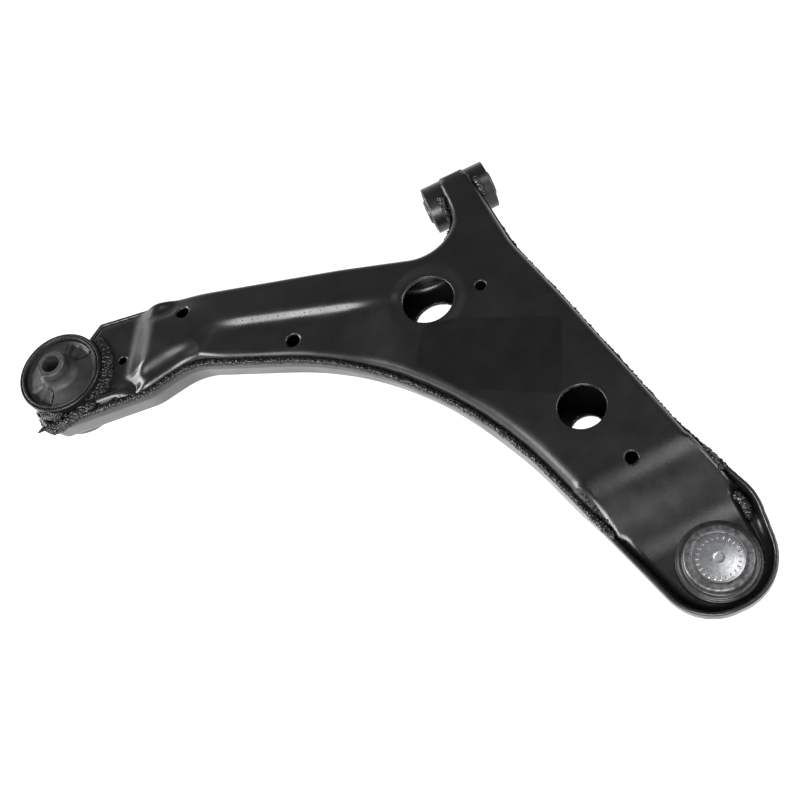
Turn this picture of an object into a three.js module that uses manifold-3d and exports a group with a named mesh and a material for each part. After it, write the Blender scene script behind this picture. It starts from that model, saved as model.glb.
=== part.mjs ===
// Suspension control arm: two pressed steel shells seam-welded into a box, a bush tube
// welded at the front, a bush ring welded at the rear and a sealed ball joint at the tip.
//
// Millimetres, +Z up. The model is drawn in arm coordinates and moved at the end:
//   X runs along the pivot axis, from the rear bush to the front bush (x = 0),
//   Z = 0 is the flat top of the upper shell, and the ball joint lies on the -Y side.
import * as THREE from 'three';
import { mergeVertices } from 'three/addons/utils/BufferGeometryUtils.js';
import Module from 'manifold-3d';

const wasm = await Module();
wasm.setup();

// ---------------------------------------------------------------- driving dimensions
const SHEET = 2.6;            // thickness of both pressings
const GAP = 0.3;              // clearance between touching pieces
const DEPTH = 40;             // height of the box section
const RIM_Z = -11;            // top edge of the lower shell's wall
const OVERLAP_Z = -15;        // lower edge of the upper shell's wall
const LAP = 3.2;              // how far the upper wall stands inside the rim

const TAB_Z = -11;            // rear tab of the upper shell
const PAN_DEPTH = 6;          // recess in the rear limb
const SEAT_Z = -20;           // ball joint seat, top face of the upper shell
const TAB_STEP = { at: [-252.5, -10], along: [-0.905, 0.425], run: 9.5 };
const SEAT_RAMP = { at: [30, -265], along: [0.05, -0.9987], run: 29 };
const FLOOR_RAMP = { at: [30, -252], along: [0.05, -0.9987], run: 32 };

const FRONT = { r: 17.4, wall: 2.5, length: 48, x: -1, z: -20 };   // front eye tube, axis along X
const FRONT_BOLT_R = 6.1;
const REAR = { x: -319.6, r: 32, wall: 2.1, top: -3, height: 41 };   // rear eye ring, axis along Z
const REAR_BOLT_R = 6.6;
const BALL = { x: 36, y: -327, z: -31, r: 12.5 };           // centre of the stud's ball
const HOUSING_R = 20.5;

// Corners of the lower shell's rim, counter-clockwise: [x, y, radius].
const RIM = [
  [75, -300, 40], [54.3, -237, 60], [31.5, -127, 150], [17.3, -66, 80],
  [12.8, 9, 4], [-15.5, 9, 4], [-15.5, -55, 28], [-100, -22.4, 300], [-220, 18.8, 40],
  [-283, 30.5, 3], [-296, 21, 2], [-306, 4, 1], [-343, 4, 4], [-348, -20, 6], [-341, -38, 8],
  [-262, -47.5, 40], [-226, -41, 40], [-120.8, -93.3, 230], [-48.4, -182.6, 280],
  [6, -360, 34], [66, -359.5, 36],
];

// How far the upper wall stands inside each edge of the rim; it comes almost flush along the
// two far sides. An edge is numbered by its first corner.
const FAR_LAPS = [{ edges: [1, 2, 3], lap: 0.9 }, { edges: [6, 7], lap: 1.7 }];
const EDGE_LAP = RIM.map((_, i) => FAR_LAPS.find(({ edges }) => edges.includes(i))?.lap ?? LAP);

// Plan of the upper shell over the ramp and the ball joint seat.
const SEAT_PLAN = [
  [63.5, -285, 10], [55.5, -252, 1], [-22.2, -252, 1], [11.5, -354, 30], [63, -354, 30],
];
// Recessed pan on the rear limb.
const PAN = [
  [-90, -72, 12], [-160, -34, 40], [-205, -19, 14], [-228, -38, 4], [-206, -40, 30], [-100, -112, 17],
];
const LABEL = [
  [20.3, -140.2, 3], [-44, -105.5, 3], [-64, -101, 6], [-78.5, -124.2, 5],
  [-65, -148, 8], [-58, -157, 6], [-3.1, -190.7, 3],
];

// Round holes: [x, y, radius]; the two large ones go through both shells.
const HOLES = [[-17.3, -90.5, 3.7], [17.7, -251, 4], [-218.5, -1.1, 4.8], [-151.2, -61.3, 4.8],
  [-274.2, -9.4, 3]];
const LIGHTENING = [
  { x: -53.6, y: -81.5, r: 18, lower: 17.9 },
  { x: 5.3, y: -205.7, r: 15.4, lower: 11.5 },
];

// Flanges of the shells that cradle the front eye tube: x range and arc in degrees.
const UPPER_SADDLE = { x: [-11.9, 10.4], arc: [135, 185] };
const LOWER_SADDLE = { x: [-13, 11.5], arc: [-5, 45] };

// Seam bead section [inset, z], and the plans that cut it into three runs.
const BEAD = [[-1.2, RIM_Z + GAP], [3.2, RIM_Z + GAP], [3.3, -7.4], [1, -6.6], [-0.9, -8.6]];
const INNER_SEAM = [[-330, -24, 1], [-330, -150, 1], [-70, -300, 1], [-8, -287, 1], [-50, -165, 1],
  [-115, -85, 1], [-204, -28, 1]];
const REAR_SEAM = { x: [-270, -60], y: [-36, 60] };
const FRONT_SEAM = { x: [10, 90], y: [-284, -32] };
const SEAT_WELD = { x: [64.2, 67.6], y: [-310, -298], rise: 5 };
const FRONT_EYE_WELD = { width: 2.9, arc: [205, 345], rear: [-19.5, -12.2], front: [10.7, 18] };
const REAR_EYE_WELD = { width: 5.2, rise: 5, arc: [-56, 33] };

// Cutting bodies reach past the shells: below, above, and along a ramp.
const CUT = { low: -60, high: 9, far: 150, outside: 6 };

// ---------------------------------------------------------------- finishes
const finish = (color, roughness, metalness) => () =>
  new THREE.MeshStandardMaterial({ color, roughness, metalness });
const blackCoat = finish(0x141415, 0.32, 0.35);
const weldMetal = finish(0x1c1c1d, 0.42, 0.6);
const darkSteel = finish(0x2a2a2c, 0.45, 0.8);
const zincSteel = finish(0x9a9c9e, 0.35, 0.95);
const softRubber = finish(0x1f1f21, 0.8, 0);
const whitePolymer = finish(0xd8d4c6, 0.5, 0);
const labelFilm = finish(0x0f0f10, 0.55, 0);

// ---------------------------------------------------------------- solids
function toSolid(geometry) {
  const bare = geometry.clone();
  bare.deleteAttribute('normal');
  bare.deleteAttribute('uv');
  const merged = mergeVertices(bare, 1e-4);
  return new wasm.Manifold(new wasm.Mesh({
    numProp: 3,
    vertProperties: new Float32Array(merged.attributes.position.array),
    triVerts: new Uint32Array(merged.index.array),
  }));
}

function toGeometry(solid) {
  const { vertProperties, triVerts } = solid.getMesh();
  const geometry = new THREE.BufferGeometry();
  geometry.setAttribute('position', new THREE.BufferAttribute(vertProperties, 3));
  geometry.setIndex(new THREE.BufferAttribute(triVerts, 1));
  geometry.computeVertexNormals();
  return geometry;
}

const arm = new THREE.Group();

function addPart(name, solid, material) {
  const mesh = new THREE.Mesh(toGeometry(solid), material());
  mesh.name = name;
  arm.add(mesh);
  return mesh;
}

// A corner list moved outwards by d (inwards when negative), its radii kept concentric.
function offsetCorners(corners, d) {
  const n = corners.length;
  return corners.map(([x, y, r], i) => {
    const [px, py] = corners[(i + n - 1) % n];
    const [qx, qy] = corners[(i + 1) % n];
    const a = new THREE.Vector2(x - px, y - py).normalize();
    const b = new THREE.Vector2(qx - x, qy - y).normalize();
    const turn = a.x * b.y - a.y * b.x;
    const scale = d / (1 + a.dot(b));
    const radius = Math.max(0.2, r + Math.sign(turn) * d);
    return [x + (a.y + b.y) * scale, y - (a.x + b.x) * scale, radius];
  });
}

// A corner list with each edge moved inwards by its own lap.
function lapCorners(corners, laps) {
  const n = corners.length;
  return corners.map(([x, y, r], i) => {
    const [px, py] = corners[(i + n - 1) % n];
    const [qx, qy] = corners[(i + 1) % n];
    const a = new THREE.Vector2(x - px, y - py).normalize();
    const b = new THREE.Vector2(qx - x, qy - y).normalize();
    const before = laps[(i + n - 1) % n];
    const after = laps[i];
    const turn = a.x * b.y - a.y * b.x;
    const radius = Math.max(0.2, r - Math.sign(turn) * (before + after) / 2);
    return [x + (before * b.x - after * a.x) / turn, y + (before * b.y - after * a.y) / turn, radius];
  });
}

// Points of a polygon with rounded corners; the count doesn't change with the radii.
function roundedPoints(corners, degreesPerStep = 18) {
  const n = corners.length;
  const points = [];
  corners.forEach(([x, y, r], i) => {
    const [px, py] = corners[(i + n - 1) % n];
    const [qx, qy] = corners[(i + 1) % n];
    const a = new THREE.Vector2(x - px, y - py).normalize();
    const b = new THREE.Vector2(qx - x, qy - y).normalize();
    const cross = a.x * b.y - a.y * b.x;
    const turn = Math.atan2(cross, a.dot(b));
    const side = Math.sign(turn);
    const reach = r * Math.tan(Math.abs(turn) / 2);
    const cx = x - a.x * reach - a.y * side * r;
    const cy = y - a.y * reach + a.x * side * r;
    const start = Math.atan2(-a.x * side, a.y * side);
    const steps = Math.max(1, Math.round(Math.abs(turn) / THREE.MathUtils.degToRad(degreesPerStep)));
    for (let k = 0; k <= steps; k += 1) {
      const angle = start + turn * k / steps;
      points.push(new THREE.Vector2(cx + r * Math.cos(angle), cy + r * Math.sin(angle)));
    }
  });
  return points;
}

// A closed body through rings of equal point count, each ring { points, z }, from low to high.
function loft(rings) {
  const count = rings[0].points.length;
  const positions = rings.flatMap(({ points, z }) => points.flatMap((p) => [p.x, p.y, z]));
  const index = [];
  for (let level = 0; level + 1 < rings.length; level += 1) {
    for (let i = 0; i < count; i += 1) {
      const a = level * count + i;
      const b = level * count + (i + 1) % count;
      index.push(a, b, b + count, a, b + count, a + count);
    }
  }
  const top = (rings.length - 1) * count;
  THREE.ShapeUtils.triangulateShape(rings[0].points, []).forEach(([a, b, c]) => index.push(a, c, b));
  THREE.ShapeUtils.triangulateShape(rings.at(-1).points, [])
    .forEach(([a, b, c]) => index.push(top + a, top + b, top + c));
  const geometry = new THREE.BufferGeometry();
  geometry.setAttribute('position', new THREE.Float32BufferAttribute(positions, 3));
  geometry.setIndex(index);
  return toSolid(geometry);
}

// Rings of one outline: profile lists [inset, z] from low to high.
const pressing = (corners, profile) => loft(profile.map(([inset, z]) => (
  { points: roundedPoints(offsetCorners(corners, -inset)), z })));

const slab = (corners, z0, z1) => pressing(corners, [[0, z0], [0, z1]]);

// A bead that follows a closed outline: section lists [inset, z] in order round the section.
function beadLoop(corners, section) {
  const rings = section.map(([inset, z]) => ({ points: roundedPoints(offsetCorners(corners, -inset)), z }));
  const count = rings[0].points.length;
  const positions = rings.flatMap(({ points, z }) => points.flatMap((p) => [p.x, p.y, z]));
  const index = [];
  rings.forEach((ring, level) => {
    const next = ((level + 1) % rings.length) * count;
    for (let i = 0; i < count; i += 1) {
      const j = (i + 1) % count;
      index.push(level * count + i, next + j, level * count + j);
      index.push(level * count + i, next + i, next + j);
    }
  });
  const geometry = new THREE.BufferGeometry();
  geometry.setAttribute('position', new THREE.Float32BufferAttribute(positions, 3));
  geometry.setIndex(index);
  return toSolid(geometry);
}

// A prism whose section is drawn in (distance along the run, z) and which is as wide as asked.
function runPrism({ at, along }, section, width = 260) {
  const shape = new THREE.Shape(section.map(([s, z]) => new THREE.Vector2(s, z)));
  const geometry = new THREE.ExtrudeGeometry(shape, { depth: width, bevelEnabled: false });
  geometry.translate(0, 0, -width / 2);
  const run = new THREE.Vector3(along[0], along[1], 0).normalize();
  const up = new THREE.Vector3(0, 0, 1);
  geometry.applyMatrix4(new THREE.Matrix4().makeBasis(run, up, run.clone().cross(up)));
  geometry.translate(at[0], at[1], 0);
  return toSolid(geometry);
}

function lathe(profile, segments = 28) {
  const points = profile.map(([r, z]) => new THREE.Vector2(r, z));
  if (profile[0][0] > 0) points.push(points[0].clone());
  return toSolid(new THREE.LatheGeometry(points, segments).rotateX(Math.PI / 2));
}

const rod = (r, z0, z1, segments = 28) => lathe([[0, z0], [r, z0], [r, z1], [0, z1]], segments);
const tube = (inner, outer, z0, z1, segments = 28) =>
  lathe([[inner, z0], [outer, z0], [outer, z1], [inner, z1]], segments);
const atFront = (solid) => solid.rotate([0, 90, 0]).translate([FRONT.x, 0, FRONT.z]);
const atRear = (solid) => solid.translate([REAR.x, 0, 0]);
const atBall = (solid) => solid.translate([BALL.x, BALL.y, 0]);
const box = ([x0, x1], [y0, y1], [z0, z1]) => toSolid(new THREE.BoxGeometry(x1 - x0, y1 - y0, z1 - z0)
  .translate((x0 + x1) / 2, (y0 + y1) / 2, (z0 + z1) / 2));

// A wedge of a ring about Z, between two angles in degrees.
function ringSector(inner, outer, [z0, z1], [from, to], stepDegrees = 11) {
  const shape = new THREE.Shape();
  const [a, b] = [from, to].map(THREE.MathUtils.degToRad);
  const steps = Math.ceil((to - from) / stepDegrees);
  const arc = (r, start, end) => Array.from({ length: steps + 1 }, (_, i) => {
    const t = start + (end - start) * i / steps;
    return new THREE.Vector2(r * Math.cos(t), r * Math.sin(t));
  });
  shape.setFromPoints([...arc(outer, a, b), ...arc(inner, b, a)]);
  const geometry = new THREE.ExtrudeGeometry(shape, { depth: z1 - z0, bevelEnabled: false });
  return toSolid(geometry.translate(0, 0, z0));
}

// ---------------------------------------------------------------- pressed shells
const frontBore = atFront(rod(FRONT.r + GAP, -FRONT.length, FRONT.length, 36));
const rearBore = atRear(rod(REAR.r + GAP, CUT.low, CUT.high, 48));
const seatBore = atBall(rod(HOUSING_R + GAP, CUT.low, 0, 36));

const UPPER = lapCorners(RIM, EDGE_LAP);
const upperOutside = [[0, OVERLAP_Z], [0.3, -5.5], [1, -2.6], [2.8, -0.6], [5.5, 0]];
const upperInside = [
  [SHEET, OVERLAP_Z - 2], [SHEET + 0.3, -6.5], [SHEET + 1.4, -3.6], [SHEET + 3.4, -SHEET]];

function upperShell() {
  let skin = pressing(UPPER, upperOutside).subtract(pressing(UPPER, upperInside));

  const pan = (outset, depth) => pressing(offsetCorners(PAN, outset), [[4.5, -depth], [0, 0.5]]);
  skin = skin.add(pan(2.4, PAN_DEPTH + SHEET).intersect(slab(offsetCorners(UPPER, -1), CUT.low, -0.5)))
    .subtract(pan(0, PAN_DEPTH));

  const stepped = (ramp, level, mask) => {
    const cut = [[0, 0], [ramp.run, level], [CUT.far, level], [CUT.far, CUT.high], [0, CUT.high]];
    const sheet = [[-4, 0], [0, 0], [ramp.run, level], [CUT.far, level], [CUT.far, level - SHEET],
      [ramp.run - 1.2, level - SHEET], [-1.2, -SHEET], [-4, -SHEET]];
    skin = skin.subtract(runPrism(ramp, cut)).add(runPrism(ramp, sheet).intersect(mask));
  };
  stepped(TAB_STEP, TAB_Z, slab(offsetCorners(RIM, -LAP - GAP), CUT.low, 1));
  const rimBand = slab(offsetCorners(RIM, CUT.outside), CUT.low, RIM_Z + GAP)
    .subtract(slab(offsetCorners(RIM, -SHEET - GAP), CUT.low - 1, CUT.high));
  skin = skin.subtract(rimBand);
  const rampFoot = SEAT_RAMP.run - 3;
  skin = skin.subtract(runPrism(SEAT_RAMP,
    [[rampFoot, CUT.low], [CUT.far, CUT.low], [CUT.far, CUT.high], [rampFoot, CUT.high]]));
  stepped(SEAT_RAMP, SEAT_Z, slab(SEAT_PLAN, CUT.low, 1));

  const saddle = atFront(ringSector(FRONT.r + GAP, FRONT.r + GAP + SHEET, UPPER_SADDLE.x, UPPER_SADDLE.arc));
  skin = skin.add(saddle).subtract(frontBore).subtract(rearBore).subtract(seatBore);
  HOLES.concat(LIGHTENING.map((h) => [h.x, h.y, h.r])).forEach(([x, y, r]) => {
    skin = skin.subtract(rod(r, -30, CUT.high, r > 10 ? 32 : 14).translate([x, y, 0]));
  });
  return skin;
}

const lowerOutside = [[11, -DEPTH], [7.4, -39], [5.4, -36], [4, -31], [0.6, -17], [0, -16], [0, RIM_Z]];
const lowerInside = [
  [13, SHEET - DEPTH], [9.6, -34.7], [6.8, -31], [SHEET + 0.6, -17], [SHEET, -16], [SHEET, RIM_Z + 2]];

function lowerShell() {
  const outside = pressing(RIM, lowerOutside);
  let skin = outside.subtract(pressing(RIM, lowerInside));
  const top = SEAT_Z - SHEET - GAP;
  const under = [[0, -DEPTH], [FLOOR_RAMP.run, top - SHEET], [CUT.far, top - SHEET],
    [CUT.far, CUT.low], [0, CUT.low]];
  const sheet = [[-2, -DEPTH], [0, -DEPTH], [FLOOR_RAMP.run, top - SHEET], [CUT.far, top - SHEET],
    [CUT.far, top], [FLOOR_RAMP.run - 1, top], [-1, SHEET - DEPTH], [-2, SHEET - DEPTH]];
  skin = skin.subtract(runPrism(FLOOR_RAMP, under))
    .add(runPrism(FLOOR_RAMP, sheet).intersect(outside));
  const saddle = atFront(ringSector(FRONT.r + GAP, FRONT.r + GAP + SHEET, LOWER_SADDLE.x, LOWER_SADDLE.arc));
  skin = skin.add(saddle).subtract(frontBore).subtract(rearBore).subtract(seatBore);
  LIGHTENING.forEach(({ x, y, lower }) => {
    skin = skin.subtract(rod(lower, -50, -20).translate([x, y, 0]));
  });
  return skin;
}

// ---------------------------------------------------------------- seam and eye welds
function eyeWeld(xRange) {
  const { width, arc } = FRONT_EYE_WELD;
  return atFront(ringSector(FRONT.r + GAP, FRONT.r + GAP + width, xRange, arc, 12))
    .subtract(slab(offsetCorners(RIM, GAP), CUT.low, RIM_Z + GAP))
    .subtract(slab(offsetCorners(UPPER, GAP), CUT.low, CUT.high));
}

function addWelds() {
  const bead = beadLoop(RIM, BEAD).subtract(slab(offsetCorners(UPPER, GAP), CUT.low, CUT.high));
  const seam = ({ x, y }) => bead.intersect(box(x, y, [-20, 0]));
  addPart('inner_seam_weld', bead.intersect(slab(INNER_SEAM, -20, 0)), weldMetal);
  addPart('rear_seam_weld', seam(REAR_SEAM), weldMetal);
  addPart('front_seam_weld', seam(FRONT_SEAM), weldMetal);
  addPart('seat_weld', box(SEAT_WELD.x, SEAT_WELD.y, [SEAT_Z - SHEET, SEAT_Z + SEAT_WELD.rise]), weldMetal);
  addPart('rear_eye_weld', atRear(ringSector(REAR.r + GAP, REAR.r + GAP + REAR_EYE_WELD.width,
    [TAB_Z + GAP, TAB_Z + REAR_EYE_WELD.rise], REAR_EYE_WELD.arc)), weldMetal);
  addPart('front_eye_weld_rear', eyeWeld(FRONT_EYE_WELD.rear), weldMetal);
  addPart('front_eye_weld_front', eyeWeld(FRONT_EYE_WELD.front), weldMetal);
}

// ---------------------------------------------------------------- front bush, axis along X
const FRONT_SLEEVE = { r: 8.6, length: 54 };

function addFrontBush() {
  const half = FRONT.length / 2;
  const shellInner = FRONT.r - FRONT.wall;
  const sleeveOuter = shellInner - GAP;
  const rubberOuter = sleeveOuter - 1.4 - GAP;
  const rubberInner = FRONT_SLEEVE.r + GAP;
  addPart('front_eye_tube', atFront(tube(shellInner, FRONT.r, -half, half)), blackCoat);
  addPart('front_bush_outer_sleeve', atFront(tube(sleeveOuter - 1.4, sleeveOuter, -half, half)), darkSteel);
  addPart('front_bush_rubber', atFront(lathe([
    [rubberInner, -half - 1], [rubberInner + 2, -half - 0.4], [rubberOuter, 1.5 - half],
    [rubberOuter, half - 1.5], [rubberInner + 2, half + 0.4], [rubberInner, half + 1]])), softRubber);
  addPart('front_bush_inner_sleeve', atFront(tube(FRONT_BOLT_R, FRONT_SLEEVE.r,
    -FRONT_SLEEVE.length / 2, FRONT_SLEEVE.length / 2)), darkSteel);
}

// ---------------------------------------------------------------- rear bush, axis along Z
const REAR_SLEEVE = { r: 10.4, top: 10, bottom: -57, notch: 2.6 };
const VOID_ANGLES = [30, 210];
const VOID_HALF_ANGLE = 34;

function addRearBush() {
  const bottom = REAR.top - REAR.height;
  const ringInner = REAR.r - REAR.wall;
  const sleeveOuter = ringInner - GAP;
  const rubberOuter = sleeveOuter - 1.6 - GAP;
  const inner = REAR_SLEEVE.r + GAP;
  addPart('rear_eye_ring', atRear(tube(ringInner, REAR.r, bottom, REAR.top, 40)), blackCoat);
  addPart('rear_bush_outer_sleeve',
    atRear(tube(sleeveOuter - 1.6, sleeveOuter, bottom - 1, REAR.top + 1, 40)), darkSteel);

  let rubber = lathe([[inner, bottom - 9], [inner + 4, bottom - 3], [rubberOuter, bottom + 2],
    [rubberOuter, REAR.top - 2], [rubberOuter - 4, REAR.top - 4], [inner + 5, REAR.top - 1],
    [inner, REAR.top + 5]], 40);
  VOID_ANGLES.forEach((angle) => {
    [[REAR.top - 13, REAR.top + 6], [bottom - 10, bottom + 11]].forEach((zRange) => {
      rubber = rubber.subtract(ringSector(inner + 4.5, rubberOuter - 3, zRange,
        [angle - VOID_HALF_ANGLE, angle + VOID_HALF_ANGLE]));
    });
  });
  addPart('rear_bush_rubber', atRear(rubber), softRubber);

  const notch = box([-REAR_SLEEVE.r - 1, 1.8 - REAR_SLEEVE.r], [-1.5, 1.5],
    [REAR_SLEEVE.top - REAR_SLEEVE.notch, REAR_SLEEVE.top + 1]).rotate([0, 0, 35]);
  addPart('rear_bush_inner_sleeve', atRear(tube(REAR_BOLT_R, REAR_SLEEVE.r,
    REAR_SLEEVE.bottom, REAR_SLEEVE.top).subtract(notch)), darkSteel);
}

// ---------------------------------------------------------------- ball joint, axis along Z
const HOUSING = { cavity: 15.8, cap: 17, crimp: 15.3, rim: 21, flange: 25.5, top: -10.2, bottom: -44 };
const STUD = { neck: 6.5, collar: 8, taperEnd: 6.6, thread: 5.9, end: -94, pinZ: -87.5, pinR: 1.5 };
const NUT = { flats: 19, top: -79, bottom: -91, slot: 5.4 };

function sphereArc(radius, centre, fromZ, toZ, steps) {
  const [a, b] = [fromZ, toZ].map((z) => Math.acos((z - centre) / radius));
  return Array.from({ length: steps + 1 }, (_, i) => {
    const angle = a + (b - a) * i / steps;
    return [radius * Math.sin(angle), centre + radius * Math.cos(angle)];
  });
}

function addBallJoint() {
  const seat = SEAT_Z + GAP;
  const h = HOUSING;
  addPart('ball_joint_housing', atBall(lathe([
    [12.6, -38.3], [h.cavity, -38.3], [h.cavity, -13.9], [h.cap, -13.9], [h.cap, -11.6],
    [h.crimp, -11.2], [h.crimp + 0.4, h.top], [h.rim - 1, h.top], [h.rim, h.top - 1],
    [h.rim, -15.4], [h.flange - 1.2, -15.6], [h.flange, -16.8], [h.flange, seat], [HOUSING_R, seat],
    [HOUSING_R, -36.8], [18.6, -37.2], [18.6, -42], [19.2, -42.4], [19.2, -43.4], [18.6, h.bottom],
    [16, h.bottom]].reverse(), 32)), darkSteel);
  addPart('ball_joint_cap', atBall(lathe([[0, -13.6], [16.7, -13.6], [16.7, -12.1], [14.8, -11.9],
    [9, -11], [0, -10.6]])), zincSteel);
  addPart('ball_joint_pressure_disc', atBall(lathe([[5, -17.6], [9, -17.6], [15.4, -15.6],
    [15.4, -14.1], [9, -16.1], [5, -16.1]])), darkSteel);
  addPart('ball_joint_bearing', atBall(lathe([[12.6, -37.9], [15.5, -37.9], [15.5, -18.2], [9.6, -18.2],
    ...sphereArc(BALL.r + GAP, BALL.z, -22.4, -35, 7)])), whitePolymer);

  const stud = lathe([[0, STUD.end], [STUD.thread - 1, STUD.end], [STUD.thread, STUD.end + 1],
    [STUD.thread, -78.3], [STUD.thread - 0.9, -77.5], [STUD.thread - 0.9, -76], [STUD.taperEnd, -75.5],
    [STUD.collar, -60], [STUD.collar, -54], [STUD.neck, -50],
    ...sphereArc(BALL.r, BALL.z, BALL.z - 10.7, BALL.z + 12.2, 10), [0, BALL.z + 12.2]], 24);
  const pinHole = rod(STUD.pinR + GAP, -30, 30, 16).rotate([0, 90, 0]).translate([0, 0, STUD.pinZ]);
  addPart('ball_stud', atBall(stud.subtract(pinHole)), zincSteel);

  let nut = rod(NUT.flats / Math.sqrt(3), NUT.bottom, NUT.top, 6)
    .subtract(rod(STUD.thread + GAP, STUD.end - 5, NUT.top + 5, 24));
  for (let k = 0; k < 3; k += 1) {
    const slot = box([-NUT.flats, NUT.flats], [-1.9, 1.9], [NUT.bottom - 1, NUT.bottom + NUT.slot]);
    nut = nut.subtract(slot.rotate([0, 0, 60 * k]));
  }
  addPart('castle_nut', atBall(nut), zincSteel);

  const pin = rod(STUD.pinR, -12, 12, 12).rotate([0, 90, 0]);
  const eye = tube(1.4, 3.2, -STUD.pinR, STUD.pinR, 16).rotate([90, 0, 0]).translate([-13.5, 0, 0]);
  addPart('cotter_pin', atBall(pin.add(eye).translate([0, 0, STUD.pinZ])), zincSteel);
}

function addBoot() {
  addPart('dust_boot', atBall(lathe([[8.4, -60.4], [10.6, -60.4], [10.6, -56.6], [17.5, -54.4],
    [21.6, -50.4], [22.4, -46.8], [21.2, -43], [20.6, -41.6], [20.6, -37.4], [18.9, -37.4], [18.9, -41.6],
    [19.7, -42.6], [20.6, -46.8], [19.9, -49.6], [16.4, -52.8], [8.4, -55.4]], 28)), softRubber);
  addPart('boot_housing_ring', atBall(tube(20.9, 22.1, -40.6, -38.6)), darkSteel);
  addPart('boot_stud_ring', atBall(tube(10.9, 12, -59.6, -57.6)), darkSteel);
}

// ---------------------------------------------------------------- assembly
addPart('upper_shell', upperShell(), blackCoat);
addPart('lower_shell', lowerShell(), blackCoat);
addWelds();
addFrontBush();
addRearBush();
addBallJoint();
addBoot();
addPart('blank_label', slab(LABEL, GAP, 2 * GAP), labelFilm);

// The frame's origin is the bottom centre of the whole part's box.
const extent = new THREE.Box3().setFromObject(arm, true);
arm.position.set(-(extent.min.x + extent.max.x) / 2, -(extent.min.y + extent.max.y) / 2, -extent.min.z);

export default arm;
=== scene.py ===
import math

import bmesh
import bpy
import numpy as np
from mathutils import Matrix, Vector, noise


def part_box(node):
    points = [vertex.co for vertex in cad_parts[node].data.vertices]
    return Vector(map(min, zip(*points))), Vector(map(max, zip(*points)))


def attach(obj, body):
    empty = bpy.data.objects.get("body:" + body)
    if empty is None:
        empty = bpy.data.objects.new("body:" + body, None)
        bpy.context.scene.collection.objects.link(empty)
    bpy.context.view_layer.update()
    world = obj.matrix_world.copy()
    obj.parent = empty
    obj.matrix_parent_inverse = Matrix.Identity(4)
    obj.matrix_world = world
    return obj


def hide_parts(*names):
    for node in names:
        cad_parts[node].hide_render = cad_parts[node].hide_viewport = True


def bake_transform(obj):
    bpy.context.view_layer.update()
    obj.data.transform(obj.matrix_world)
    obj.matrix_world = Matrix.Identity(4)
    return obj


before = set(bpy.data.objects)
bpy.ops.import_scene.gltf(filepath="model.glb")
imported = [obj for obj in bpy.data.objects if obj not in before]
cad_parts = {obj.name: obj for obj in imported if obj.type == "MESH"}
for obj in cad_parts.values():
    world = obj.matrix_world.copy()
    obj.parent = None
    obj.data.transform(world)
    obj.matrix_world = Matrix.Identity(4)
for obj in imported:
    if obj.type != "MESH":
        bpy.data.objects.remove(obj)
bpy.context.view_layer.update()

# Suspension control arm. Shapes are in millimetres in the arm's own coordinates: X along the
# pivot axis towards the front bush (x = 0), Z = 0 on the flat top of the upper pressing, the
# ball joint on the -Y side. place() turns them into metres in the row frame.
SHEET = 2.6                     # thickness of both pressings
GAP = 0.3                       # clearance between touching pieces
DEPTH = 40.0                    # height of the box section
RIM_Z = -11.0                   # top edge of the lower pressing
OVERLAP_Z = -15.0               # lower edge of the upper pressing's wall
LAP = 3.2                       # how far the upper wall stands inside the rim
TAB_Z = -11.0                   # rear tab of the upper pressing
PAN_DEPTH = 6.0                 # recess in the rear limb
RIDGE = 4.0                     # rise along the near edge of the tab
DISH = 1.5                      # depth of the flat round the larger lightening hole
SEAT_Z = -20.0                  # ball joint seat, top face of the upper pressing
UPPER_DRAFT = 0.14              # outward lean of the upper wall, per millimetre of depth
UPPER_FILLET = 4.6
HOLLOW_FILLET = 4.0             # added to it along the near edge of the front limb
LOWER_FILLET = 7.0
LOWER_DRAFT = 0.245             # inward lean of the lower wall, per millimetre of depth
HOLLOW_DRAFT = 0.17             # taken off it beside the front limb
DRAFT_Z = -16.5                 # where the lower wall starts to lean
GRID = 1.4                      # spacing of the grid that the pressings are cut from
FINE_GRID = 0.6                 # the same for the weld lumps

FRONT_X = -1.0                  # middle of the front bush
FRONT_Z = -20.0                 # height of the front bush's axis
FRONT_R = 17.4                  # front eye tube, outside
FRONT_HALF = 24.0               # half of its length
REAR_X = -319.6                 # axis of the rear bush
REAR_R = 32.0                   # rear eye ring, outside
REAR_TOP = -3.0
REAR_BOTTOM = -44.0
SLEEVE_TOP = 10.0               # ends of the rear bush's inner sleeve
SLEEVE_BOTTOM = -57.0
BALL = (36.0, -327.0, -31.0)    # centre of the stud's ball
BALL_R = 12.5
HOUSING_R = 20.5
STUD_END = -94.0
THREAD_PITCH = 1.25
PIN_Z = -87.5

# Corners of the lower pressing's rim, counter-clockwise: (x, y, radius).
RIM = [
    (75, -300, 40), (54.3, -237, 60), (31.5, -127, 150), (17.3, -66, 80),
    (12.8, 9, 4), (-15.5, 9, 4), (-15.5, -55, 28), (-100, -22.4, 300), (-220, 18.8, 40),
    (-283, 30.5, 3), (-296, 21, 2), (-306, 4, 1), (-343, 4, 4), (-348, -20, 6), (-341, -38, 8),
    (-262, -47.5, 40), (-226, -41, 40), (-120.8, -93.3, 230), (-48.4, -182.6, 280),
    (6, -360, 34), (66, -359.5, 36),
]
# How far the upper pressing stands inside each edge of the rim, counted from RIM's corners;
# it comes almost flush along the two far sides.
FAR_LAPS = {1: 0.9, 2: 0.9, 3: 0.9, 6: 1.7, 7: 1.7, 8: 0.9, 9: 0.9}
EDGE_LAPS = [FAR_LAPS.get(i, LAP) for i in range(len(RIM))]

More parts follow.
